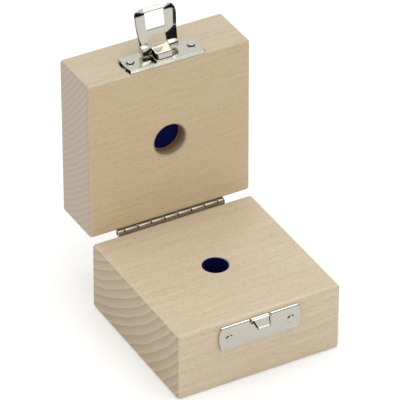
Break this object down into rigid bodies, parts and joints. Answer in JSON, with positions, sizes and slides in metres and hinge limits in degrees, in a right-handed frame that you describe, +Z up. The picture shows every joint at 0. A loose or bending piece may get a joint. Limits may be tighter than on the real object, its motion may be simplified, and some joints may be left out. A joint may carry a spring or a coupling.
{
  "type": "bored wooden case for a knob weight",
  "caption": "Small beech case of two bored blocks for one knob weight, hinged at the back, with a metal hasp that snaps over a tongue.",
  "frame": {"origin": "middle of the base block's bottom face, which stands on the floor", "axes": "+Z up, -Y towards the front with the latch, +Y towards the hinge, +X to the right seen from the front"},
  "size_m": [0.06, 0.0842, 0.1012],
  "materials": {
    "beech": "clear satin lacquer",
    "velvet": "short pile",
    "polished_nickel": "polished",
    "hinge_nickel": "satin"
  },
  "bodies": {
    "case_base": {"base_block": "beech", "base_bore_lining": "velvet", "base_bore_pad": "velvet", "hinge_leaf_base": "hinge_nickel", "hinge_nails_base": "hinge_nickel", "hinge_pin": "hinge_nickel", "strike_plate": "polished_nickel", "strike_nail_left": "polished_nickel", "strike_nail_right": "polished_nickel"},
    "lid": {"lid_block": "beech", "lid_bore_pad": "velvet", "hinge_leaf_lid": "hinge_nickel", "hinge_nails_lid": "hinge_nickel", "latch_plate": "polished_nickel", "latch_nail_left": "polished_nickel", "latch_nail_right": "polished_nickel"},
    "hasp_frame": {"hasp": "polished_nickel", "hasp_pin": "polished_nickel"}
  },
  "joints": [
    {"name": "lid_hinge", "type": "hinge", "parent": "case_base", "child": "lid", "pos_m": [0, 0.0305, 0.0252], "axis": [-1, 0, 0], "range_deg": [-90.7, 89.3]},
    {"name": "hasp_hinge", "type": "hinge", "parent": "lid", "child": "hasp_frame", "pos_m": [-0.0003, 0.03802, 0.08791], "axis": [-1, 0, 0], "range_deg": [-100.6, 79.4]}
  ]
}
